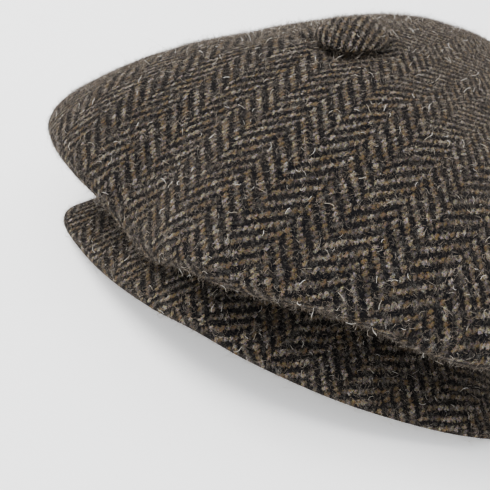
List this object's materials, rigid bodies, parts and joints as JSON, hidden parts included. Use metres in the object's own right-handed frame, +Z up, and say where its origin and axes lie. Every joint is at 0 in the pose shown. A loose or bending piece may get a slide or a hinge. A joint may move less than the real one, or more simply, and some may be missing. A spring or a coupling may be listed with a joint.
{
  "type": "flat cap",
  "caption": "Soft flat cap in herringbone tweed: a full domed crown that overhangs a stiff arched peak, with a cloth-covered button on top",
  "frame": {"origin": "on the surface that the cap rests on, below the middle of its bounding box", "axes": "+Z up; -Y is the front, where the peak is; +X is the wearer's left"},
  "size_m": [0.2536, 0.2462, 0.1072],
  "materials": {
    "crown_cloth": "coarse dark brown and black herringbone wool tweed, matt and hairy",
    "peak_cloth": "the same tweed stretched over a stiffener, matt and hairy",
    "button_cloth": "the same tweed drawn over a button, matt and hairy"
  },
  "bodies": {
    "root": {"crown": "crown_cloth", "peak": "peak_cloth", "button": "button_cloth"}
  },
  "joints": []
}
